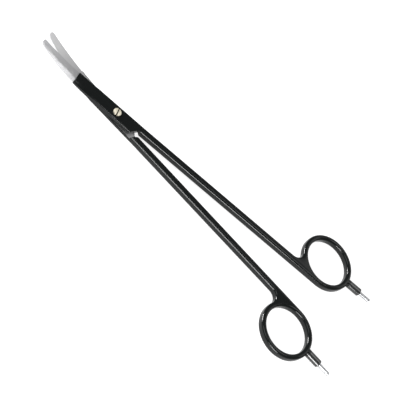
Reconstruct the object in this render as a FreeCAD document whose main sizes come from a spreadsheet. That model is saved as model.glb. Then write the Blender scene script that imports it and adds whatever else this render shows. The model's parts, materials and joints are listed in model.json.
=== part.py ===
"""Curved dissecting scissors with two insulated halves that carry the current.

Each half is a steel forging under a black insulating coat, bare at the blade, and is drawn
as it lies when the scissors are closed: the pivot axis is Z, the tips point along -X, and
its own shank and finger ring lie on +Y. The front half is then swung open about the pivot.
The back half is the same blank turned over, with its blade curved the other way, so that
both blades rise together. In the finished part the rest plane is Z = 0.
"""
import FreeCAD
import Part
import Sketcher
import math
import os
import re

SIZES = [
    ("body_height", 4.6, "height of a coated shank, and of both laps together"),
    ("parting_gap", 0.12, "clearance between the inner faces of the two halves"),
    ("coat_thickness", 0.3, "insulating coat over the steel"),
    ("half_opening", 4.45, "degrees that each half stands open at rest"),
    ("shank_inset", 0.4, "from the closed centre line to a shank's inner face"),
    ("shank_width", 4.2, "across a coated shank"),
    ("edge_round", 1.45, "rounding of the coat along the shank and ring"),
    ("steel_chamfer", 0.7, "chamfer along the steel shank and ring, under the coat"),
    ("ring_reach", 144.7, "pivot to the middle of the finger ring, along the closed line"),
    ("ring_hole", 26.8, "bore of the finger ring"),
    ("ring_wall", 3.2, "radial thickness of the finger ring"),
    ("crotch_radius", 4.8, "hollow between shank and ring"),
    ("lap_overlap", 4.4, "length of the shank drawn inside the lap, up to the lap's end"),
    ("lap_reach", 15.4, "pivot to the slanted end of the lap, at the shank's inner face"),
    ("lap_slant", 52.0, "degrees from the shank to the lap's end and the shoulder"),
    ("shoulder_reach", 17.6, "pivot to the slanted shoulder, at the shank's inner face"),
    ("shoulder_round", 1.6, "rounding of the shoulder into the shank's inner face"),
    ("lap_toe", 5.1, "half width of the lap at its end"),
    ("lap_heel", 3.6, "half width of the lap where the blade starts to bend"),
    ("lap_chamfer", 0.35, "chamfer along the lap's outer edges"),
    ("toe_chamfer", 0.9, "the same chamfer on the shank's side at the lap's end"),
    ("lap_crown", 0.06, "fall of the lap's crowned outer face toward its back edge"),
    ("bend_start", 14.0, "pivot to where the blade starts to bend"),
    ("bend_radius", 115.0, "radius of the blade's upward bend"),
    ("blade_reach", 53.8, "pivot to the tip, seen from above"),
    ("tip_cut", 1.85, "from the centre line to the cutting edge at the tip"),
    ("tip_back", 1.85, "from the centre line to the blade's back at the tip"),
    ("tip_thickness", 1.05, "blade thickness behind the cutting edge at the tip"),
    ("tip_back_thickness", 0.95, "blade thickness at the foot of the crown at the tip"),
    ("facet_width", 2.9, "width of the facet ground along the blade's back"),
    ("facet_drop", 0.85, "fall of that facet toward the blade's back"),
    ("facet_tip_share", 0.3, "share of the facet's width and fall that is left at the tip"),
    ("facet_onset", 5.0, "how soon the facet grows to its full width past the lap"),
    ("bevel_width", 0.4, "width of the bevel at the cutting edge"),
    ("bevel_height", 0.75, "height of the bevel at the cutting edge"),
    ("coat_end", 28.0, "pivot to where the coat stops on the blade"),
    ("undercut", 1.5, "depth of the drawn blade below its inner face, cut off again"),
    ("tip_overrun", 6.0, "length that cuts reach past the tip"),
    ("cut_margin", 2.0, "width that cuts reach past the metal"),
    ("inner_sweep", 80.0, "degrees swept about the pivot by the cut of the inner face"),
    ("screw_diameter", 3.0, "pivot screw's plain shank and thread"),
    ("screw_clearance", 0.03, "round the screw in its bush"),
    ("head_diameter", 4.5, "pivot screw's head"),
    ("head_rim", 1.0, "height of the head's straight rim"),
    ("head_dome", 0.4, "rise of the head's domed top"),
    ("slot_width", 0.6, "screwdriver slot"),
    ("slot_depth", 0.75, "screwdriver slot"),
    ("slot_angle", 101.0, "degrees from X to the slot"),
    ("screw_recess", 0.1, "screw's end below the outer face of the back half"),
    ("bush_diameter", 4.0, "outside of the bush's tube"),
    ("flange_diameter", 5.3, "flange of the bush"),
    ("flange_thickness", 0.5, "flange of the bush"),
    ("counterbore_depth", 0.9, "recess for the flange and the head"),
    ("washer_diameter", 7.0, "insulating washer between the halves"),
    ("washer_recess", 0.4, "depth of the washer's seat in the back half"),
    ("washer_play", 0.02, "free play over the washer"),
    ("washer_slack", 0.05, "round the washer in its seat"),
    ("boss_offset", 0.8, "from the ring's middle in to the contact pin's axis"),
    ("boss_diameter", 3.5, "steel boss under the sleeve"),
    ("boss_length", 5.0, "steel boss beyond its coated root"),
    ("boss_root", 1.0, "coated root between the ring and the sleeve"),
    ("sleeve_diameter", 4.6, "insulating sleeve round the contact pin"),
    ("sleeve_length", 8.0, "insulating sleeve"),
    ("sleeve_chamfer", 0.55, "outer end of the sleeve"),
    ("pin_diameter", 2.2, "contact pin"),
    ("pin_length", 7.5, "contact pin beyond its sleeve"),
    ("pin_chamfer", 0.35, "free end of the contact pin"),
    ("pin_standoff", 0.1, "between the sleeve and the contact pin's shoulder"),
    ("neck_diameter", 1.8, "neck of the pin inside the sleeve"),
    ("tang_diameter", 1.6, "stem of the pin, pressed into the boss"),
    ("tang_length", 4.0, "stem of the pin, pressed into the boss"),
    ("tang_relief", 0.1, "depth of the boss's bore past the stem"),
    ("seat_gap", 0.01, "round pressed and glued pieces"),
]

# Stations along the bent blade, as shares of its whole bend
STATIONS = (0.0, 0.25, 0.5, 0.75, 1.04)

document = FreeCAD.newDocument("dissecting_scissors")
sheet = document.addObject("Spreadsheet::Sheet", "Sizes")
for row, (alias, value, meaning) in enumerate(SIZES, start=1):
    sheet.set("A%d" % row, meaning)
    sheet.set("B%d" % row, str(value))
    sheet.setAlias("B%d" % row, alias)
document.recompute()


def size(alias):
    """Return a size from the sheet as a plain number."""
    return float(getattr(sheet, alias))


def cells(text):
    """Turn the <names> in a formula into references to the sheet."""
    return re.sub(r"<(\w+)>", r"Sizes.\1", text)


def number(text):
    """Work out a formula of sheet names as a plain number, for a first sketch position."""
    result = sheet.evalExpression(cells(text))
    return float(getattr(result, "Value", result))


# Sketching


def new_sketch(body, name, role, offset=("0", "0", "0"), tilt="0"):
    """Attach a sketch to one of the body's own origin planes, moved and tilted by formulas."""
    plane = next(item for item in body.Origin.OriginFeatures if item.Role == role)
    sketch = body.newObject("Sketcher::SketchObject", name)
    sketch.AttachmentSupport = [(plane, "")]
    sketch.MapMode = "FlatFace"
    start = FreeCAD.Vector(*[number(part) for part in offset])
    turn = FreeCAD.Rotation(FreeCAD.Vector(1, 0, 0), number(tilt))
    sketch.AttachmentOffset = FreeCAD.Placement(start, turn)
    for axis, part in zip("xyz", offset):
        if part != "0":
            sketch.setExpression("AttachmentOffset.Base." + axis, cells(part))
    if tilt != "0":
        sketch.setExpression("AttachmentOffset.Rotation.Angle", cells(tilt))
    return sketch


def bind(sketch, index, name, formula):
    """Name a constraint and tie it to the sheet."""
    sketch.renameConstraint(index, name)
    sketch.setExpression("Constraints." + name, cells(formula))


def hold(sketch, name, curve, end, x=None, y=None):
    """Fix a point of a curve at a place given by two formulas."""
    for letter, kind, formula in (("x", "DistanceX", x), ("y", "DistanceY", y)):
        if formula is not None:
            value = number(formula)
            index = sketch.addConstraint(Sketcher.Constraint(kind, -1, 1, curve, end, value))
            bind(sketch, index, name + "_" + letter, formula)


def outline(sketch, corners, arcs=None):
    """Draw a closed outline through corners given by formulas.

    arcs maps the number of a side to (name, radius, x, y, counter), an arc about a centre near
    the place given by formulas, run counter-clockwise or not. Its radius is bound.
    """
    arcs = arcs or {}
    points = [FreeCAD.Vector(number(x), number(y), 0) for x, y in corners]
    count = len(points)
    ends = []
    for side in range(count):
        first, last = points[side], points[(side + 1) % count]
        if side not in arcs:
            sketch.addGeometry(Part.LineSegment(first, last))
            ends.append((1, 2))
            continue
        _, radius, x, y, counter = arcs[side]
        middle = FreeCAD.Vector(number(x), number(y), 0)
        turns = [math.atan2(p.y - middle.y, p.x - middle.x) for p in (first, last)]
        if not counter:
            turns.reverse()
        circle = Part.Circle(middle, FreeCAD.Vector(0, 0, 1), number(radius))
        sketch.addGeometry(Part.ArcOfCircle(circle, turns[0], turns[1]))
        ends.append((1, 2) if counter else (2, 1))
    for side in range(count):
        after = (side + 1) % count
        joint = Sketcher.Constraint("Coincident", side, ends[side][1], after, ends[after][0])
        sketch.addConstraint(joint)
    for side, (x, y) in enumerate(corners):
        hold(sketch, "corner%d" % side, side, ends[side][0], x, y)
    for side, (name, radius, _, _, _) in arcs.items():
        index = sketch.addConstraint(Sketcher.Constraint("Radius", side, number(radius)))
        bind(sketch, index, name, radius)


def circle(sketch, name, diameter, x="0", y="0"):
    """Draw a circle whose diameter and middle are bound to the sheet."""
    middle = FreeCAD.Vector(number(x), number(y), 0)
    normal = FreeCAD.Vector(0, 0, 1)
    curve = sketch.addGeometry(Part.Circle(middle, normal, number(diameter) / 2))
    if x == "0" and y == "0":
        sketch.addConstraint(Sketcher.Constraint("Coincident", curve, 3, -1, 1))
    else:
        hold(sketch, name + "_middle", curve, 3, x, y if y != "0" else None)
        if y == "0":
            sketch.addConstraint(Sketcher.Constraint("PointOnObject", curve, 3, -1))
    index = sketch.addConstraint(Sketcher.Constraint("Diameter", curve, number(diameter)))
    bind(sketch, index, name, diameter)


# Features


def pad(body, sketch, name, length, midplane=False):
    """Extrude a sketch along its normal."""
    feature = body.newObject("PartDesign::Pad", name)
    feature.Profile = sketch
    feature.Midplane = midplane
    feature.Length = number(length)
    feature.setExpression("Length", cells(length))
    document.recompute()
    return feature


def pocket(body, sketch, name, length=None, midplane=False):
    """Cut a sketch down against its normal, by a length or right through."""
    before = body.Shape.Volume
    feature = body.newObject("PartDesign::Pocket", name)
    feature.Profile = sketch
    feature.Midplane = midplane
    if length is None:
        feature.Type = "ThroughAll"
    else:
        feature.Length = number(length)
        feature.setExpression("Length", cells(length))
    document.recompute()
    if not feature.Shape.Volume < before:
        raise RuntimeError("%s cuts nothing" % name)
    return feature


def loft(body, sketches, name, ruled=False):
    """Loft a solid through sketches."""
    feature = body.newObject("PartDesign::AdditiveLoft", name)
    feature.Profile = sketches[0]
    feature.Sections = sketches[1:]
    feature.Ruled = ruled
    document.recompute()
    return feature


def revolve(body, sketch, name, axis="V_Axis"):
    """Turn a sketch once round one of its own axes."""
    feature = body.newObject("PartDesign::Revolution", name)
    feature.Profile = sketch
    feature.ReferenceAxis = (sketch, [axis])
    feature.Angle = 360
    document.recompute()
    return feature


def new_body(name, placement):
    """Start a body at its place in the finished part."""
    body = document.addObject("PartDesign::Body", name)
    body.Label = name
    body.Placement = placement
    return body


# Placing the two halves


def half_placement(side):
    """Place a half in the finished part: side is +1 for the front half, -1 for the back."""
    lift = FreeCAD.Vector(0, 0, size("body_height") / 2)
    roll = 0 if side > 0 else 180
    return FreeCAD.Placement(lift, FreeCAD.Rotation(side * size("half_opening"), 0, roll))


# The two halves


def skin(coated, sign):
    """Return the formula term that takes the coat off a coated size, if the body is steel."""
    return "" if coated else " %s <coat_thickness>" % sign


def ease_edges(body, blank, coated, height, start):
    """Take the corners off the long edges past a start: round on the coat, flat on the steel."""
    rims = []
    for index, edge in enumerate(blank.Shape.Edges, start=1):
        box = edge.BoundBox
        level = box.ZLength < 1e-6 and abs(abs(box.ZMin) - height) < 1e-6
        if level and box.XMax > start + 1e-6:
            rims.append("Edge%d" % index)
    kind = ("Fillet", "Radius", "<edge_round>") if coated else ("Chamfer", "Size", "<steel_chamfer>")
    easing = body.newObject("PartDesign::" + kind[0], "easing_of_" + body.Name)
    easing.Base = (blank, rims)
    setattr(easing, kind[1], number(kind[2]))
    easing.setExpression(kind[1], cells(kind[2]))
    document.recompute()


SHANK_START = "<lap_reach> - <lap_overlap>"


def shank_and_ring(body, coated):
    """Shank and finger ring, one flat profile with its long edges eased."""
    less, more = skin(coated, "-"), skin(coated, "+")
    top = "<shank_inset> + <shank_width>" + less
    inner = "<shank_inset>" + more
    outer_radius = "<ring_hole> / 2 + <ring_wall>" + less
    ring_y = "<shank_inset> + <ring_hole> / 2 + <ring_wall>"
    hollow = "<crotch_radius>" + more
    reach = "sqrt((%s + %s)^2 - (%s - (%s) - (%s))^2)" % (outer_radius, hollow, ring_y, top, hollow)
    hollow_x = "<ring_reach> - " + reach
    hollow_y = "%s + %s" % (top, hollow)
    share = "((%s) / (%s + %s))" % (hollow, outer_radius, hollow)
    touch_x = "%s + (<ring_reach> - (%s)) * %s" % (hollow_x, hollow_x, share)
    touch_y = "%s + (%s - (%s)) * %s" % (hollow_y, ring_y, hollow_y, share)
    plan = new_sketch(body, "plan_of_" + body.Name, "XY_Plane")
    outline(plan, [(SHANK_START, top), (hollow_x, top), (touch_x, touch_y),
                   ("<ring_reach>", inner), (SHANK_START, inner)],
            {1: ("crotch", hollow, hollow_x, hollow_y, True),
             2: ("ring_outside", outer_radius, "<ring_reach>", ring_y, False)})
    circle(plan, "ring_inside", "<ring_hole>" + more + more, "<ring_reach>", ring_y)
    blank = pad(body, plan, "blank_of_" + body.Name, "<body_height>" + less + less, midplane=True)
    ease_edges(body, blank, coated, number("<body_height> / 2" + less), number(SHANK_START))


def lap_section(body, name, coated, along, cut, back, heights, chamfers, tilt="0", under="0"):
    """Section across the lap or blade: flat below, gently crowned above, corners taken off.

    along gives the section's offset, cut and back the distances of its edges from the centre
    line, heights its thickness at each edge and chamfers the two corners' (width, height).
    """
    grow = " + <coat_thickness>" if coated else ""
    (cut_wide, cut_high), (back_wide, back_high) = chamfers
    cut, back = cut + grow, back + grow
    cut_height, back_height = [height + grow for height in heights]
    sketch = new_sketch(body, name, "YZ_Plane", along, tilt)
    fall = "(%s - (%s))" % (cut_height, back_height)
    run = "(%s + %s - (%s) - (%s))" % (cut, back, cut_wide, back_wide)
    radius = "(%s^2 + %s^2) / (2 * %s)" % (run, fall, fall)
    crown_x = "%s - (%s)" % (cut, cut_wide)
    crown_y = "%s - (%s)" % (cut_height, radius)
    corners = [("-(%s)" % back, "-(%s)" % under), (cut, "-(%s)" % under),
               (cut, "%s - (%s)" % (cut_height, cut_high)), (crown_x, cut_height),
               ("-(%s) + (%s)" % (back, back_wide), back_height),
               ("-(%s)" % back, "%s - (%s)" % (back_height, back_high))]
    outline(sketch, corners, {3: ("crown", radius, crown_x, crown_y, True)})
    return sketch


LAP_STEEL = "<body_height> / 2 - <parting_gap> / 2 - <coat_thickness>"
LAP_CHAMFERS = (("<lap_chamfer>", "<lap_chamfer>"), ("<lap_chamfer>", "<lap_chamfer>"))
TOE_START = "<lap_reach> + <cut_margin> / 2"
HEEL_CUT = "<shank_inset> + <shank_width> - <coat_thickness>"
HEEL_BACK = "<lap_heel> - <coat_thickness>"
LAP_BACK = LAP_STEEL + " - <lap_crown>"


def slanted(reach, y, coat_sign, rising=False):
    """Return the place along the shank of a slanted end, at a distance from the centre line.

    reach is its place on the coat at the shank's inner face. coat_sign says which way the coat
    moves it on the steel, or is empty on the coat itself. A rising end leans away from the
    pivot toward the shank, as the lap's does, and the shoulder leans the other way.
    """
    shift = " %s <coat_thickness> / sin(<lap_slant>)" % coat_sign if coat_sign else ""
    way = "+" if rising else "-"
    return "%s%s %s (%s - <shank_inset>) / tan(<lap_slant>)" % (reach, shift, way, y)


def lap(body, coated):
    """Half lap round the pivot, straight from the blade to its slanted end."""
    heights = (LAP_STEEL, LAP_BACK)
    level = "<parting_gap> / 2"
    toe_corners = (("<toe_chamfer>", "<toe_chamfer>"), LAP_CHAMFERS[1])
    toe = lap_section(body, "toe_of_" + body.Name, coated, ("0", level, TOE_START),
                      HEEL_CUT, "<lap_toe> - <coat_thickness>", heights, toe_corners)
    heel = lap_section(body, "heel_of_" + body.Name, coated, ("0", level, "-<bend_start>"),
                       HEEL_CUT, HEEL_BACK, heights, LAP_CHAMFERS)
    loft(body, [toe, heel], "lap_of_" + body.Name, ruled=True)
    inner = "<shank_inset>" + skin(coated, "+")
    far, wide = TOE_START + " + <cut_margin>", "-(<lap_toe> + <cut_margin>)"
    sign = "" if coated else "-"
    trim = new_sketch(body, "trim_of_" + body.Name, "XY_Plane", ("0", "0", "<body_height>"))
    outline(trim, [(slanted("<lap_reach>", inner, sign, rising=True), inner), (far, inner),
                   (far, wide), (slanted("<lap_reach>", wide, sign, rising=True), wide)])
    pocket(body, trim, "lap_end_of_" + body.Name)


def shoulder(body, coated):
    """Clear the other half's lap: a slanted shoulder below the inner face, rounded inward."""
    inner = "<shank_inset>" + skin(coated, "+")
    wide = "<shank_inset> + <shank_width> + <cut_margin>"
    radius = "<shoulder_round>" + skin(coated, "-")
    sign = "" if coated else "+"
    corner = slanted("<shoulder_reach>", inner, sign)
    tangent = "(%s) * tan(<lap_slant> / 2)" % radius
    begin_x = "%s - %s * cos(<lap_slant>)" % (corner, tangent)
    begin_y = "%s + %s * sin(<lap_slant>)" % (inner, tangent)
    end_x = "%s + %s" % (corner, tangent)
    relief = new_sketch(body, "relief_of_" + body.Name, "XY_Plane", ("0", "0", "<parting_gap> / 2"))
    outline(relief, [("0", "-<cut_margin>"), (end_x, "-<cut_margin>"), (end_x, inner),
                     (begin_x, begin_y), (slanted("<shoulder_reach>", wide, sign), wide),
                     ("0", wide)],
            {2: ("shoulder_corner", radius, end_x, "%s + (%s)" % (inner, radius), False)})
    pocket(body, relief, "shoulder_of_" + body.Name)


BEND = "asin((<blade_reach> - <bend_start>) / <bend_radius>)"


def blade(body, coated, side):
    """Curved blade, its inner face a surface turned about the pivot so that it always slides."""
    sign = "" if side > 0 else "-"
    sections = []
    for place, share in enumerate(STATIONS):
        turn = "(%g * %s)" % (share, BEND)
        along = ("0", "<parting_gap> / 2 + %s1 * <bend_radius> * (1 - cos(%s))" % (sign, turn),
                 "-<bend_start> - <bend_radius> * sin(%s)" % turn)
        square = "%g" % (share * share)
        linear = "%g" % share
        cut = "%s - (%s - <tip_cut>) * %s" % (HEEL_CUT, HEEL_CUT, square)
        back = "%s - (%s - <tip_back>) * %s" % (HEEL_BACK, HEEL_BACK, square)
        heights = ("%s - (%s - <tip_thickness>) * %s" % (LAP_STEEL, LAP_STEEL, linear),
                   "%s - (%s - <tip_back_thickness>) * %s" % (LAP_BACK, LAP_BACK, linear))
        bevel = ("<lap_chamfer> + (<bevel_width> - <lap_chamfer>) * %s" % linear,
                 "<lap_chamfer> + (<bevel_height> - <lap_chamfer>) * %s" % linear)
        grown = "(1 - (1 - min(%s; 1))^<facet_onset>)" % linear
        narrowing = "(1 - (1 - <facet_tip_share>) * %s)" % linear
        facet = ("<lap_chamfer> + (<facet_width> * %s - <lap_chamfer>) * %s" % (narrowing, grown),
                 "<lap_chamfer> + (<facet_drop> * %s - <lap_chamfer>) * %s" % (narrowing, grown))
        name = "blade%d_of_%s" % (place, body.Name)
        sections.append(lap_section(body, name, coated, along, cut, back, heights,
                                    (bevel, facet), "%s1 * %s" % (sign, turn), "<undercut>"))
    loft(body, sections, "blade_of_" + body.Name)
    hollow_inner_face(body, side)


def hollow_inner_face(body, side):
    """Cut the blade's inner face to an arc turned about the pivot axis."""
    face = new_sketch(body, "inner_face_of_" + body.Name, "XZ_Plane")
    level = "<parting_gap> / 2"
    end = "(<blade_reach> + <tip_overrun>)"
    rise = "(<bend_radius> - sqrt(<bend_radius>^2 - (%s - <bend_start>)^2))" % end
    sign = "+" if side > 0 else "-"
    outline(face, [("-<bend_start>", level), ("-" + end, "%s %s %s" % (level, sign, rise)),
                   ("-" + end, "-" + end), ("-<bend_start>", "-" + end)],
            {0: ("bend", "<bend_radius>", "-<bend_start>",
                 "%s %s <bend_radius>" % (level, sign), side < 0)})
    before = body.Shape.Volume
    groove = body.newObject("PartDesign::Groove", "inner_cut_of_" + body.Name)
    groove.Profile = face
    groove.ReferenceAxis = (face, ["V_Axis"])
    groove.Angle = size("inner_sweep")
    groove.setExpression("Angle", cells("<inner_sweep>"))
    groove.Midplane = True
    document.recompute()
    if not groove.Shape.Volume < before:
        raise RuntimeError("the inner face cuts nothing")


def round_nose(body):
    """Round the blade's tip, seen from above."""
    radius = "(<tip_cut> + <tip_back>) / 2"
    middle_y = "(<tip_cut> - <tip_back>) / 2"
    middle_x = "-(<blade_reach> - %s)" % radius
    wide, far = "<lap_toe> + <cut_margin>", "-(<blade_reach> + <tip_overrun>)"
    nose = new_sketch(body, "nose_of_" + body.Name, "XY_Plane")
    corners = [(middle_x, "%s + %s" % (middle_y, radius)), ("-<blade_reach>", middle_y),
               (middle_x, "%s - %s" % (middle_y, radius)), (middle_x, "-(%s)" % wide),
               (far, "-(%s)" % wide), (far, wide), (middle_x, wide)]
    outline(nose, corners, {0: ("nose_of_cutting_edge", radius, middle_x, middle_y, True),
                            1: ("nose_of_back", radius, middle_x, middle_y, True)})
    pocket(body, nose, "nose_cut_of_" + body.Name, midplane=True)


def end_of_coat(body):
    """Stop the coat part of the way along the blade."""
    wide, far = "<lap_toe> + <cut_margin>", "-(<blade_reach> + <tip_overrun>)"
    edge = new_sketch(body, "coat_end_of_" + body.Name, "XY_Plane")
    outline(edge, [("-<coat_end>", "-(%s)" % wide), (far, "-(%s)" % wide), (far, wide),
                   ("-<coat_end>", wide)])
    pocket(body, edge, "coat_cut_of_" + body.Name, midplane=True)


def round_cut(body, name, diameter, level, depth=None):
    """Cut a round hole about the pivot axis, downward from a level."""
    sketch = new_sketch(body, name + "_in_" + body.Name, "XY_Plane", ("0", "0", level))
    circle(sketch, name, diameter)
    pocket(body, sketch, name + "_cut_in_" + body.Name, depth)


def pivot_holes(body, side):
    """Seats for the bush and the head in the front half, for the thread and washer in the back."""
    top = "<body_height> / 2"
    if side > 0:
        round_cut(body, "counterbore", "<flange_diameter> + 2 * <seat_gap>", top,
                  "<counterbore_depth>")
        round_cut(body, "bush_bore", "<bush_diameter> + 2 * <seat_gap>", top)
    else:
        round_cut(body, "thread_bore", "<screw_diameter> + 2 * <seat_gap>", top)
        round_cut(body, "washer_seat", "<washer_diameter> + 2 * <washer_slack>",
                  "<parting_gap> / 2 + <washer_recess>")


RING_END = "<ring_reach> + <ring_hole> / 2 + <ring_wall>"
BOSS_Y = "<shank_inset> + <ring_hole> / 2 + <ring_wall> - <boss_offset>"


def boss(body, coated):
    """Round boss at the far end of the ring, with the contact pin's bore in the steel."""
    root = new_sketch(body, "boss_of_" + body.Name, "YZ_Plane",
                      ("0", "0", RING_END + " - <ring_wall> / 2"))
    diameter = "<sleeve_diameter>" if coated else "<boss_diameter>"
    length = "<ring_wall> / 2 + <boss_root>" + ("" if coated else " + <boss_length>")
    circle(root, "boss", diameter, BOSS_Y)
    pad(body, root, "boss_pad_of_" + body.Name, length)
    if not coated:
        bore = new_sketch(body, "tang_bore_of_" + body.Name, "YZ_Plane",
                          ("0", "0", RING_END + " + <boss_root> + <boss_length>"))
        circle(bore, "tang", "<tang_diameter> + 2 * <seat_gap>", BOSS_Y)
        pocket(body, bore, "tang_cut_of_" + body.Name, "<tang_length>")


def half(name, side, coated):
    """One half of the scissors: the steel forging, or the same form with its coat on."""
    body = new_body(name, half_placement(side))
    shank_and_ring(body, coated)
    shoulder(body, coated)
    lap(body, coated)
    blade(body, coated, side)
    if coated:
        end_of_coat(body)
    else:
        round_nose(body)
    pivot_holes(body, side)
    boss(body, coated)
    return body


def insulation(name, envelope, steel):
    """Coat of one half: its coated form less the steel."""
    coat = document.addObject("Part::Cut", name)
    coat.Label = name
    coat.Base = envelope
    coat.Tool = steel
    document.recompute()
    return coat


# The pivot


def pivot_bush():
    """Flanged insulating bush that keeps the screw off the front half."""
    body = new_body("pivot_bush", half_placement(1))
    inner, tube = "<screw_diameter> / 2 + <screw_clearance>", "<bush_diameter> / 2"
    seat = "<body_height> / 2 - <counterbore_depth>"
    top = seat + " + <flange_thickness>"
    section = new_sketch(body, "bush_section", "XZ_Plane")
    outline(section, [(inner, "<parting_gap> / 2"), (tube, "<parting_gap> / 2"), (tube, seat),
                      ("<flange_diameter> / 2", seat), ("<flange_diameter> / 2", top),
                      (inner, top)])
    revolve(body, section, "bush_turning")
    return body


def pivot_washer():
    """Insulating washer sunk in the back half, just clear of the front half."""
    body = new_body("pivot_washer", half_placement(-1))
    floor = "<parting_gap> / 2 + <washer_recess>"
    face = "-(<parting_gap> / 2 - <washer_play>)"
    inner = "<screw_diameter> / 2 + <washer_slack>"
    section = new_sketch(body, "washer_section", "XZ_Plane")
    outline(section, [(inner, face), ("<washer_diameter> / 2", face),
                      ("<washer_diameter> / 2", floor), (inner, floor)])
    revolve(body, section, "washer_turning")
    return body


def pivot_screw():
    """Slotted screw with a domed head, threaded into the back half."""
    lift = FreeCAD.Vector(0, 0, size("body_height") / 2)
    body = new_body("pivot_screw", FreeCAD.Placement(lift, FreeCAD.Rotation(size("slot_angle"), 0, 0)))
    seat = "<body_height> / 2 - <counterbore_depth> + <flange_thickness>"
    rim, crown = seat + " + <head_rim>", seat + " + <head_rim> + <head_dome>"
    end = "-(<body_height> / 2 - <screw_recess>)"
    stem, head = "<screw_diameter> / 2", "<head_diameter> / 2"
    dome = "((%s)^2 + <head_dome>^2) / (2 * <head_dome>)" % head
    section = new_sketch(body, "screw_section", "XZ_Plane")
    outline(section, [("0", end), (stem, end), (stem, seat), (head, seat), (head, rim), ("0", crown)],
            {4: ("dome", dome, "0", "%s - (%s)" % (crown, dome), True)})
    revolve(body, section, "screw_turning")
    slot = new_sketch(body, "slot", "XY_Plane", ("0", "0", crown))
    long, wide = "<head_diameter>", "<slot_width> / 2"
    outline(slot, [("-" + long, "-(%s)" % wide), (long, "-(%s)" % wide), (long, wide),
                   ("-" + long, wide)])
    pocket(body, slot, "slot_cut", "<slot_depth>")
    return body


# The contact pins


def sleeve(name, side):
    """Insulating sleeve that slides over the boss and closes round the contact pin."""
    body = new_body(name, half_placement(side))
    start = RING_END + " + <boss_root>"
    step, end = start + " + <boss_length>", start + " + <sleeve_length>"
    wide, narrow = "<boss_diameter> / 2 + <seat_gap>", "<neck_diameter> / 2 + <seat_gap>"
    outer = "<sleeve_diameter> / 2"
    section = new_sketch(body, name + "_section", "XY_Plane", ("0", BOSS_Y, "0"))
    outline(section, [(start, wide), (step, wide), (step, narrow), (end, narrow),
                      (end, outer + " - <sleeve_chamfer>"), (end + " - <sleeve_chamfer>", outer),
                      (start, outer)])
    revolve(body, section, name + "_turning", "H_Axis")
    return body


def contact_pin(name, side):
    """Plug pin with a thin neck in the sleeve and a stem that is pressed into the boss."""
    body = new_body(name, half_placement(side))
    step = RING_END + " + <boss_root> + <boss_length>"
    sleeve_end = RING_END + " + <boss_root> + <sleeve_length>"
    start, end = sleeve_end + " + <pin_standoff>", sleeve_end + " + <pin_length>"
    stem_end = step + " - <tang_length> + <tang_relief>"
    radius, neck_radius, stem = "<pin_diameter> / 2", "<neck_diameter> / 2", "<tang_diameter> / 2"
    section = new_sketch(body, name + "_section", "XY_Plane", ("0", BOSS_Y, "0"))
    outline(section, [(stem_end, "0"), (end, "0"), (end, radius + " - <pin_chamfer>"),
                      (end + " - <pin_chamfer>", radius), (start, radius), (start, neck_radius),
                      (step, neck_radius), (step, stem), (stem_end, stem)])
    revolve(body, section, name + "_turning", "H_Axis")
    return body


def build():
    """Build every piece and return those that are written out."""
    pieces = []
    for name, side in (("front", 1), ("back", -1)):
        steel = half(name + "_half", side, coated=False)
        envelope = half(name + "_coated_form", side, coated=True)
        pieces += [steel, insulation(name + "_insulation", envelope, steel),
                   sleeve(name + "_pin_sleeve", side), contact_pin(name + "_contact_pin", side)]
    return pieces + [pivot_bush(), pivot_washer(), pivot_screw()]


def check(pieces):
    """Stop unless every object recomputed and every piece is one sound solid."""
    for item in document.Objects:
        if "Invalid" in item.State or "Error" in item.State:
            raise RuntimeError("%s failed: %s" % (item.Name, item.State))
    for piece in pieces:
        shape = piece.Shape
        if shape.isNull() or not shape.isValid() or len(shape.Solids) != 1:
            raise RuntimeError("%s is not one sound solid" % piece.Label)


def main():
    """Build, check and write the pieces."""
    pieces = build()
    document.recompute()
    check(pieces)
    os.makedirs("parts", exist_ok=True)
    for piece in pieces:
        piece.Shape.exportStep("parts/%s.step" % piece.Label)
        print("%-20s %9.2f mm3" % (piece.Label, piece.Shape.Volume))


main()
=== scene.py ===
"""Looks of the curved insulated dissecting scissors.

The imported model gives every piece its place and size. This script dresses it: satin steel
blades, the glossy black coat of both halves, the plugs behind the finger rings and the pivot
screw. It then lays the scissors on a white table under soft studio light.
"""

import json
import logging
import math
from dataclasses import dataclass
from enum import Enum

import bmesh
import bpy
from mathutils import Matrix, Vector
from mathutils.bvhtree import BVHTree

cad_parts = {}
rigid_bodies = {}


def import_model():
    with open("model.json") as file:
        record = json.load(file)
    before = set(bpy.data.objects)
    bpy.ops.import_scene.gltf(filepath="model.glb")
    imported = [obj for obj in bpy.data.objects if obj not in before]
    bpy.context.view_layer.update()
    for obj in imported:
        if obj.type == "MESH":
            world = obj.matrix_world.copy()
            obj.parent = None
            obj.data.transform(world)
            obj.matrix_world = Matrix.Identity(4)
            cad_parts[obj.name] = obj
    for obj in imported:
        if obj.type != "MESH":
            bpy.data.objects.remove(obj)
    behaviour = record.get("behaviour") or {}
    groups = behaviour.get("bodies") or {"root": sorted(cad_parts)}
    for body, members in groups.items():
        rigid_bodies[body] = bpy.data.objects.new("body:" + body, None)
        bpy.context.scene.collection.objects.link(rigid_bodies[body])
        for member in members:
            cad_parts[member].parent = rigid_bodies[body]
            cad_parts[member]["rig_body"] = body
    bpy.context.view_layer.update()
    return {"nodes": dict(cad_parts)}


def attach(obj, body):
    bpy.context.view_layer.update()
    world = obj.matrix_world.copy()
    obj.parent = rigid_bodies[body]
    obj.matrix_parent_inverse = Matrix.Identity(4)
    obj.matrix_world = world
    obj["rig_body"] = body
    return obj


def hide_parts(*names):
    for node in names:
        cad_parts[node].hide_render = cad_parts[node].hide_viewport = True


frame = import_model()

MM = 0.001
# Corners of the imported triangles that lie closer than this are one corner
MERGE_DISTANCE = 0.002 * MM

log = logging.getLogger("scissors")


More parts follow.
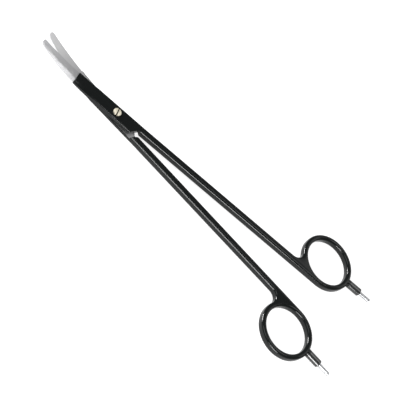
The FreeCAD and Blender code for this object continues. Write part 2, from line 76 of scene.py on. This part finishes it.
def srgb(code: str) -> tuple[float, float, float, float]:
    """Turn an sRGB hex colour into a linear one.

    Args:
        code: six hex digits, with or without a leading hash.

    Returns:
        Linear red, green and blue, and an alpha of 1.
    """
    values = [int(code.lstrip("#")[i : i + 2], 16) / 255 for i in (0, 2, 4)]
    linear = [v / 12.92 if v <= 0.04045 else ((v + 0.055) / 1.055) ** 2.4 for v in values]
    return (linear[0], linear[1], linear[2], 1.0)


def add_node(
    tree: bpy.types.NodeTree,
    kind: str,
    settings: dict[str | int, object] | None = None,
    links: dict[str | int, bpy.types.NodeSocket] | None = None,
) -> bpy.types.Node:
    """Add a node to a tree, set it up and link its inputs.

    Args:
        tree: shader or geometry tree that gets the node.
        kind: the node's type name.
        settings: properties by name, or input values by socket name or number.
        links: sockets to link from, by the name or number of the input they go to.

    Returns:
        The new node.
    """
    node = tree.nodes.new(kind)
    for key, value in (settings or {}).items():
        if isinstance(key, int) or key in node.inputs:
            node.inputs[key].default_value = value
        else:
            setattr(node, key, value)
    for key, socket in (links or {}).items():
        tree.links.new(socket, node.inputs[key])
    return node


class Side(Enum):
    """The two halves, by the body that carries each."""

    FRONT = "front"
    BACK = "back"


@dataclass(frozen=True)
class SatinSteel:
    """Stainless steel with a satin finish, bare at the blades.

    Fine grinding lines run across the blade, so its light spreads along it. Some patches are
    a little duller from handling.
    """

    name: str
    colour: str
    dull_colour: str
    roughness: float = 0.29
    roughness_spread: float = 0.1
    line_spacing_mm: float = 0.25
    line_stretch: float = 16.0
    line_depth_mm: float = 0.03
    line_relief: float = 0.12
    patch_mm: float = 7.14

    def material(self) -> bpy.types.Material:
        """Build the material.

        Returns:
            The finished material.
        """
        material = bpy.data.materials.new(self.name)
        material.use_nodes = True
        tree = material.node_tree
        tree.nodes.clear()
        place = add_node(tree, "ShaderNodeTexCoord").outputs["Object"]
        # The lines are drawn out along Y, across the blade
        per_metre = 1 / (self.line_spacing_mm * MM)
        stretched = add_node(
            tree,
            "ShaderNodeMapping",
            {"Scale": (per_metre, per_metre / self.line_stretch, per_metre)},
            {"Vector": place},
        ).outputs["Vector"]
        lines = add_node(
            tree, "ShaderNodeTexNoise", {"Scale": 1.0, "Detail": 3.0}, {"Vector": stretched}
        ).outputs["Fac"]
        patches = add_node(
            tree,
            "ShaderNodeTexNoise",
            {"Scale": 1 / (self.patch_mm * MM), "Detail": 2.0},
            {"Vector": place},
        ).outputs["Fac"]
        tint = add_node(
            tree,
            "ShaderNodeMix",
            {"data_type": "RGBA", 6: srgb(self.colour), 7: srgb(self.dull_colour)},
            {0: patches},
        ).outputs[2]
        gloss = add_node(
            tree,
            "ShaderNodeMapRange",
            {"To Min": self.roughness, "To Max": self.roughness + self.roughness_spread},
            {"Value": lines},
        ).outputs["Result"]
        bump = add_node(
            tree,
            "ShaderNodeBump",
            {"Strength": self.line_relief, "Distance": self.line_depth_mm * MM},
            {"Height": lines},
        ).outputs["Normal"]
        shader = add_node(
            tree,
            "ShaderNodeBsdfPrincipled",
            {"Metallic": 1.0},
            {"Base Color": tint, "Roughness": gloss, "Normal": bump},
        )
        add_node(tree, "ShaderNodeOutputMaterial", None, {"Surface": shader.outputs["BSDF"]})
        return material


@dataclass(frozen=True)
class Enamel:
    """Black plastic: the baked coat of the halves, the moulded sleeves, the bush and washer.

    The surface rolls very slightly, as plastic does that has flowed. Handling leaves a few
    duller patches.
    """

    name: str
    colour: str
    roughness: float
    roll_mm: float
    roll_depth_mm: float
    specular: float
    ior: float = 1.45
    patch_mm: float = 11.11
    patch_start: float = 0.3
    patch_full: float = 0.75
    patch_dulling: float = 0.08

    def material(self) -> bpy.types.Material:
        """Build the material.

        Returns:
            The finished material.
        """
        material = bpy.data.materials.new(self.name)
        material.use_nodes = True
        tree = material.node_tree
        tree.nodes.clear()
        place = add_node(tree, "ShaderNodeTexCoord").outputs["Object"]
        roll = add_node(
            tree,
            "ShaderNodeTexNoise",
            {"Scale": 1 / (self.roll_mm * MM), "Detail": 1.0},
            {"Vector": place},
        ).outputs["Fac"]
        wear = add_node(
            tree,
            "ShaderNodeTexNoise",
            {"Scale": 1 / (self.patch_mm * MM), "Detail": 4.0},
            {"Vector": place},
        ).outputs["Fac"]
        gloss = add_node(
            tree,
            "ShaderNodeMapRange",
            {
                "From Min": self.patch_start,
                "From Max": self.patch_full,
                "To Min": self.roughness,
                "To Max": self.roughness + self.patch_dulling,
            },
            {"Value": wear},
        ).outputs["Result"]
        bump = add_node(
            tree,
            "ShaderNodeBump",
            {"Strength": 1.0, "Distance": self.roll_depth_mm * MM},
            {"Height": roll},
        ).outputs["Normal"]
        shader = add_node(
            tree,
            "ShaderNodeBsdfPrincipled",
            {
                "Base Color": srgb(self.colour),
                "IOR": self.ior,
                "Specular IOR Level": self.specular,
            },
            {"Roughness": gloss, "Normal": bump},
        )
        add_node(tree, "ShaderNodeOutputMaterial", None, {"Surface": shader.outputs["BSDF"]})
        return material


@dataclass(frozen=True)
class TurnedMetal:
    """Turned metal: the contact pins and the pale pivot screw.

    Its tone and gloss are faintly clouded, as they are on small handled parts.
    """

    name: str
    colour: str
    clouded_colour: str
    roughness: float
    roughness_spread: float = 0.08
    cloud_mm: float = 1.43

    def material(self) -> bpy.types.Material:
        """Build the material.

        Returns:
            The finished material.
        """
        material = bpy.data.materials.new(self.name)
        material.use_nodes = True
        tree = material.node_tree
        tree.nodes.clear()
        place = add_node(tree, "ShaderNodeTexCoord").outputs["Object"]
        cloud = add_node(
            tree,
            "ShaderNodeTexNoise",
            {"Scale": 1 / (self.cloud_mm * MM), "Detail": 2.0},
            {"Vector": place},
        ).outputs["Fac"]
        tint = add_node(
            tree,
            "ShaderNodeMix",
            {"data_type": "RGBA", 6: srgb(self.colour), 7: srgb(self.clouded_colour)},
            {0: cloud},
        ).outputs[2]
        gloss = add_node(
            tree,
            "ShaderNodeMapRange",
            {"To Min": self.roughness, "To Max": self.roughness + self.roughness_spread},
            {"Value": cloud},
        ).outputs["Result"]
        shader = add_node(
            tree,
            "ShaderNodeBsdfPrincipled",
            {"Metallic": 1.0},
            {"Base Color": tint, "Roughness": gloss},
        )
        add_node(tree, "ShaderNodeOutputMaterial", None, {"Surface": shader.outputs["BSDF"]})
        return material


@dataclass(frozen=True)
class SlottedHead(TurnedMetal):
    """Pale turned metal of the pivot screw, whose slot is painted dark as shade.

    The painted shade lies between two planes along the slot, just outside its walls.
    """

    slot_angle_deg: float = 101.0
    slot_width_mm: float = 0.6
    shade_margin_mm: float = 0.02
    # Colour of the painted shade in the slot
    slot_shade_colour: str = "#4E4932"

    def material(self) -> bpy.types.Material:
        """Build the material.

        Returns:
            The finished material.
        """
        material = super().material()
        tree = material.node_tree
        shader = next(node for node in tree.nodes if node.type == "BSDF_PRINCIPLED")
        tint = shader.inputs["Base Color"].links[0].from_socket
        place = add_node(tree, "ShaderNodeTexCoord").outputs["Object"]
        angle = math.radians(self.slot_angle_deg)
        across = add_node(
            tree,
            "ShaderNodeVectorMath",
            {"operation": "DOT_PRODUCT", 1: (-math.sin(angle), math.cos(angle), 0.0)},
            {0: place},
        ).outputs["Value"]
        distance = add_node(
            tree, "ShaderNodeMath", {"operation": "ABSOLUTE"}, {0: across}
        ).outputs["Value"]
        reach = (self.slot_width_mm / 2 + self.shade_margin_mm) * MM
        inside = add_node(
            tree, "ShaderNodeMath", {"operation": "LESS_THAN", 1: reach}, {0: distance}
        ).outputs["Value"]
        # Painted shade: the slot and a thin margin round it take a dark colour instead of the
        # metal's tint
        shaded_tint = add_node(
            tree,
            "ShaderNodeMix",
            {"data_type": "RGBA", 7: srgb(self.slot_shade_colour)},
            {0: inside, 6: tint},
        ).outputs[2]
        tree.links.new(shaded_tint, shader.inputs["Base Color"])
        return material


def smooth_copy(node: str, crease_deg: float) -> bpy.types.Object:
    """Copy a node as one joined, smooth-shaded mesh that stands for it.

    Args:
        node: name of the node.
        crease_deg: edges sharper than this stay crisp.

    Returns:
        The copy, which rides on the node's own body.
    """
    source = frame["nodes"][node]
    mesh = source.data.copy()
    # The stored normals belong to the loose triangles, not to the joined surface
    stored = mesh.attributes.get("custom_normal")
    if stored is not None:
        mesh.attributes.remove(stored)
    work = bmesh.new()
    work.from_mesh(mesh)
    bmesh.ops.remove_doubles(work, verts=work.verts, dist=MERGE_DISTANCE)
    for edge in work.edges:
        edge.smooth = not edge.is_manifold or edge.calc_face_angle() < math.radians(crease_deg)
    for face in work.faces:
        face.smooth = True
    work.to_mesh(mesh)
    work.free()
    mesh.materials.clear()
    copy = bpy.data.objects.new(node + "_dressed", mesh)
    bpy.context.scene.collection.objects.link(copy)
    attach(copy, source["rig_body"])
    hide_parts(node)
    return copy


@dataclass
class CoatLip:
    """Soft bead in which the coat ends on the blade, swept along the end's outline."""

    side: Side
    half_opening_deg: float = 4.45
    radius_mm: float = 0.17
    profile_points: int = 10
    end_band_mm: float = 0.02
    least_off_steel_mm: float = 0.1
    crease_deg: float = 45.0

    def outline(self) -> bpy.types.Mesh:
        """Find the line along the middle of the coat's thickness, round the coat's end.

        Returns:
            A mesh of points and edges alone.
        """
        steel = frame["nodes"][self.side.value + "_half"].data
        steel_tree = BVHTree.FromPolygons(
            [vertex.co for vertex in steel.vertices],
            [polygon.vertices for polygon in steel.polygons],
        )
        coat = bmesh.new()
        coat.from_mesh(frame["nodes"][self.side.value + "_insulation"].data)
        bmesh.ops.remove_doubles(coat, verts=coat.verts, dist=MERGE_DISTANCE)
        turn = math.radians(self.half_opening_deg) * (1 if self.side is Side.FRONT else -1)
        along = Vector((math.cos(turn), math.sin(turn), 0))
        end = min(vertex.co.dot(along) for vertex in coat.verts) + self.end_band_mm * MM
        middles: dict[int, tuple[int, Vector]] = {}
        for vertex in coat.verts:
            place, _, _, distance = steel_tree.find_nearest(vertex.co)
            off_steel = distance > self.least_off_steel_mm * MM
            if vertex.co.dot(along) < end and off_steel:
                middles[vertex.index] = (len(middles), vertex.co.lerp(place, 0.5))
        edges = []
        for edge in coat.edges:
            ends = [vertex.index for vertex in edge.verts]
            outer = all(index in middles for index in ends) and len(edge.link_faces) == 2
            if outer and edge.calc_face_angle() > math.radians(self.crease_deg):
                edges.append([middles[index][0] for index in ends])
        coat.free()
        mesh = bpy.data.meshes.new(self.side.value + "_coat_end")
        mesh.from_pydata([place for _, place in middles.values()], edges, [])
        return mesh

    def sweep_tree(self) -> bpy.types.NodeTree:
        """Build the node tree that sweeps a round bead along the outline.

        Returns:
            The tree, with its sizes and its material as named inputs.
        """
        tree = bpy.data.node_groups.new("coat_lip_sweep", "GeometryNodeTree")
        for name, way, kind in (
            ("Geometry", "INPUT", "NodeSocketGeometry"),
            ("Bead radius", "INPUT", "NodeSocketFloat"),
            ("Profile points", "INPUT", "NodeSocketInt"),
            ("Finish", "INPUT", "NodeSocketMaterial"),
            ("Geometry", "OUTPUT", "NodeSocketGeometry"),
        ):
            tree.interface.new_socket(name=name, in_out=way, socket_type=kind)
        given = add_node(tree, "NodeGroupInput").outputs
        path = add_node(tree, "GeometryNodeMeshToCurve", None, {"Mesh": given["Geometry"]})
        profile = add_node(
            tree,
            "GeometryNodeCurvePrimitiveCircle",
            None,
            {"Resolution": given["Profile points"], "Radius": given["Bead radius"]},
        )
        bead = add_node(
            tree,
            "GeometryNodeCurveToMesh",
            {"Fill Caps": True},
            {"Curve": path.outputs["Curve"], "Profile Curve": profile.outputs["Curve"]},
        )
        smooth = add_node(
            tree, "GeometryNodeSetShadeSmooth", None, {"Geometry": bead.outputs["Mesh"]}
        )
        real = add_node(
            tree,
            "GeometryNodeRealizeInstances",
            None,
            {"Geometry": smooth.outputs["Geometry"]},
        )
        dressed = add_node(
            tree,
            "GeometryNodeSetMaterial",
            None,
            {"Geometry": real.outputs["Geometry"], "Material": given["Finish"]},
        )
        add_node(tree, "NodeGroupOutput", None, {"Geometry": dressed.outputs["Geometry"]})
        return tree

    def build(self, coat: bpy.types.Material) -> None:
        """Sweep the bead, bake it to a plain mesh and let it ride on its half.

        Args:
            coat: the coat's material.
        """
        lip = bpy.data.objects.new(self.side.value + "_coat_lip", self.outline())
        bpy.context.scene.collection.objects.link(lip)
        tree = self.sweep_tree()
        sweep = lip.modifiers.new("sweep", "NODES")
        sweep.node_group = tree
        values = {
            "Bead radius": self.radius_mm * MM,
            "Profile points": self.profile_points,
            "Finish": coat,
        }
        for socket in tree.interface.items_tree:
            if socket.name in values:
                sweep[socket.identifier] = values[socket.name]
        bpy.context.view_layer.update()
        shaped = lip.evaluated_get(bpy.context.evaluated_depsgraph_get())
        mesh = bpy.data.meshes.new_from_object(shaped)
        lip.modifiers.clear()
        lip.data = mesh
        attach(lip, frame["nodes"][self.side.value + "_insulation"]["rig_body"])
        log.info("%s swept with %d faces", lip.name, len(mesh.polygons))


@dataclass
class Half:
    """One half: satin blade, black coat, and the plug behind its ring."""

    side: Side
    crease_deg: float = 24.0

    def build(self, steel: SatinSteel, coat: Enamel, sleeve: Enamel, pin: TurnedMetal) -> None:
        """Dress the half's pieces.

        Args:
            steel: finish of the bare blade.
            coat: finish of the coat.
            sleeve: finish of the plug's sleeve.
            pin: finish of the contact pin.
        """
        finishes = {
            "half": (steel, "steel"),
            "insulation": (coat, "black_coat"),
            "pin_sleeve": (sleeve, "black_sleeve"),
            "contact_pin": (pin, "bright_pin"),
        }
        for piece, (finish, slot) in finishes.items():
            node = "%s_%s" % (self.side.value, piece)
            material = finish.material()
            copy = smooth_copy(node, self.crease_deg)
            copy.data.materials.append(material)
            log.info("%s dressed as %s", node, finish.name)
            if piece == "insulation":
                CoatLip(self.side).build(material)


@dataclass
class Pivot:
    """Pivot screw with its insulating bush and washer."""

    crease_deg: float = 24.0

    def build(self, screw: SlottedHead, bush: Enamel) -> None:
        """Dress the pivot's pieces.

        Args:
            screw: finish of the screw.
            bush: finish of the bush and the washer.
        """
        for node, finish, slot in (
            ("pivot_screw", screw, "pale_brass"),
            ("pivot_bush", bush, "dark_bush"),
            ("pivot_washer", bush, "dark_bush"),
        ):
            copy = smooth_copy(node, self.crease_deg)
            copy.data.materials.append(finish.material())
            log.info("%s dressed as %s", node, finish.name)


@dataclass(frozen=True)
class SoftBox:
    """Rectangular lamp that faces the scissors.

    Its direction round them is counted from +X and its height over the table is an angle. Its
    sides are in metres. A brightness of 1 is about that of the white table.
    """

    name: str
    azimuth_deg: float
    height_deg: float
    width: float
    depth: float
    brightness: float

    def hang(self, middle: Vector, distance: float) -> None:
        """Put the lamp at its place.

        Args:
            middle: the point that it faces.
            distance: how far it hangs from there.
        """
        light = bpy.data.lights.new(self.name, "AREA")
        light.shape = "RECTANGLE"
        light.size = self.width
        light.size_y = self.depth
        light.energy = self.brightness * math.pi * self.width * self.depth
        azimuth, height = math.radians(self.azimuth_deg), math.radians(self.height_deg)
        level = math.cos(height)
        away = Vector((level * math.cos(azimuth), level * math.sin(azimuth), math.sin(height)))
        lamp = bpy.data.objects.new(self.name, light)
        lamp.location = middle + away * distance
        lamp.rotation_euler = (-away).to_track_quat("-Z", "Y").to_euler()
        bpy.context.scene.collection.objects.link(lamp)


# None of them shows as a reflection in the flat tops of the coat, which stay near black
SOFT_BOXES = (
    # Evenly bright over the blades' upper faces
    SoftBox("blade_box", 51.0, 30.0, 1.0, 0.6, 0.9),
    # General light from above
    SoftBox("overhead_box", -150.0, 62.0, 0.6, 0.5, 2.6),
    # Shows as the white strip on the facet along the front blade's back
    SoftBox("facet_box", 30.0, 66.0, 0.6, 0.3, 3.1),
    # The two fine lines along the shanks and the sleeves
    SoftBox("front_low_box", -80.0, 13.0, 0.65, 0.28, 28.0),
    SoftBox("front_high_strip", -90.0, 38.0, 0.4, 0.12, 20.0),
    # Short streaks on the rings
    SoftBox("left_box", 168.0, 14.0, 0.5, 0.16, 90.0),
)


@dataclass
class Studio:
    """White table, soft lamps and the camera at the photograph's view."""

    table_size: float = 3.0
    table_colour: str = "#BCBCBC"
    table_glow: float = 0.8
    room_light: float = 0.25
    lamp_middle: tuple[float, float, float] = (0.06, 0.0, 0.0)
    lamp_distance: float = 1.2
    focal_length_mm: float = 137.17
    sensor_width_mm: float = 36.0
    distance_mm: float = 811.20
    target_mm: tuple[float, float, float] = (64.078, -2.520, 2.3)
    tilt: float = 0.75162
    heading: float = -1.79793
    roll: float = 0.76025

    def table(self) -> None:
        """Lay a plain table under the scissors.

        It glows a little for the eye and in reflections, so that it shows white there, and it
        keeps the scissors' shadow.
        """
        half = self.table_size / 2
        mesh = bpy.data.meshes.new("table")
        corners = [(-half, -half, 0), (half, -half, 0), (half, half, 0), (-half, half, 0)]
        mesh.from_pydata(corners, [], [(0, 1, 2, 3)])
        table = bpy.data.objects.new("table", mesh)
        bpy.context.scene.collection.objects.link(table)
        material = bpy.data.materials.new("white_laminate_table")
        material.use_nodes = True
        tree = material.node_tree
        tree.nodes.clear()
        laminate = add_node(tree, "ShaderNodeBsdfDiffuse", {"Color": srgb(self.table_colour)})
        path = add_node(tree, "ShaderNodeLightPath")
        seen = add_node(
            tree,
            "ShaderNodeMath",
            {"operation": "MAXIMUM"},
            {0: path.outputs["Is Camera Ray"], 1: path.outputs["Is Glossy Ray"]},
        ).outputs[0]
        seen_or_through = add_node(
            tree,
            "ShaderNodeMath",
            {"operation": "MAXIMUM"},
            {0: seen, 1: path.outputs["Is Transmission Ray"]},
        ).outputs[0]
        strength = add_node(
            tree,
            "ShaderNodeMath",
            {"operation": "MULTIPLY", 1: self.table_glow},
            {0: seen_or_through},
        ).outputs[0]
        glow = add_node(
            tree, "ShaderNodeEmission", {"Color": srgb("#FFFFFF")}, {"Strength": strength}
        )
        both = add_node(
            tree, "ShaderNodeAddShader", None, {0: laminate.outputs[0], 1: glow.outputs[0]}
        )
        add_node(tree, "ShaderNodeOutputMaterial", None, {"Surface": both.outputs[0]})
        mesh.materials.append(material)

    def world(self) -> None:
        """Fill the room with even grey light."""
        world = bpy.data.worlds.new("studio")
        world.use_nodes = True
        room = world.node_tree.nodes["Background"].inputs
        room["Color"].default_value = srgb("#FFFFFF")
        room["Strength"].default_value = self.room_light
        bpy.context.scene.world = world

    def camera(self) -> None:
        """Set up the camera at the photograph's angle, distance and framing."""
        back = Vector(
            (
                math.sin(self.tilt) * math.cos(self.heading),
                math.sin(self.tilt) * math.sin(self.heading),
                math.cos(self.tilt),
            )
        )
        level = (Vector((1, 0, 0)) - back * back.x).normalized()
        upright = back.cross(level)
        right = math.cos(self.roll) * level + math.sin(self.roll) * upright
        up = -math.sin(self.roll) * level + math.cos(self.roll) * upright
        place = (Vector(self.target_mm) + back * self.distance_mm) * MM
        turn = Matrix((right, up, back)).transposed()
        data = bpy.data.cameras.new("camera")
        data.lens = self.focal_length_mm
        data.sensor_width = self.sensor_width_mm
        camera = bpy.data.objects.new("camera", data)
        camera.matrix_world = Matrix.Translation(place) @ turn.to_4x4()
        bpy.context.scene.collection.objects.link(camera)
        bpy.context.scene.camera = camera

    def build(self) -> None:
        """Set up table, light and camera."""
        self.table()
        self.world()
        for box in SOFT_BOXES:
            box.hang(Vector(self.lamp_middle), self.lamp_distance)
        self.camera()
        bpy.context.scene.view_settings.view_transform = "Standard"
        log.info("studio ready")


def main() -> None:
    """Dress every piece and set up the studio."""
    logging.basicConfig(level=logging.INFO)
    # The front blade shows its brushed outer face, the back one its brighter ground inner face
    brushed = SatinSteel("brushed_stainless_steel", "#CCCCCD", "#C0C0C2")
    ground = SatinSteel("satin_ground_stainless_steel", "#DCDCDC", "#D0D0D2")
    # Smooth and glossy, as it is baked on
    coat = Enamel("baked_black_insulating_coat", "#0A0D0D", 0.1, 3.0, 0.0012, 0.34)
    # A shade lighter than the coat, with the fine grain of its mould
    sleeve = Enamel("moulded_black_plug_sleeve", "#181A1A", 0.16, 0.8, 0.002, 0.9)
    # Matte, as it is cut from a rod
    bush = Enamel("machined_black_bush", "#0F1010", 0.45, 0.5, 0.002, 0.3)
    # Bright stainless steel
    pin = TurnedMetal("turned_stainless_contact_pin", "#AFB0B2", "#A3A4A6", 0.31)
    # Ivory-coloured and matte
    screw = SlottedHead("matte_pale_nickel_silver", "#FBF6E6", "#F4ECD4", 0.52)
    Half(Side.FRONT).build(brushed, coat, sleeve, pin)
    Half(Side.BACK).build(ground, coat, sleeve, pin)
    Pivot().build(screw, bush)
    Studio().build()


if __name__ == "__main__":
    main()
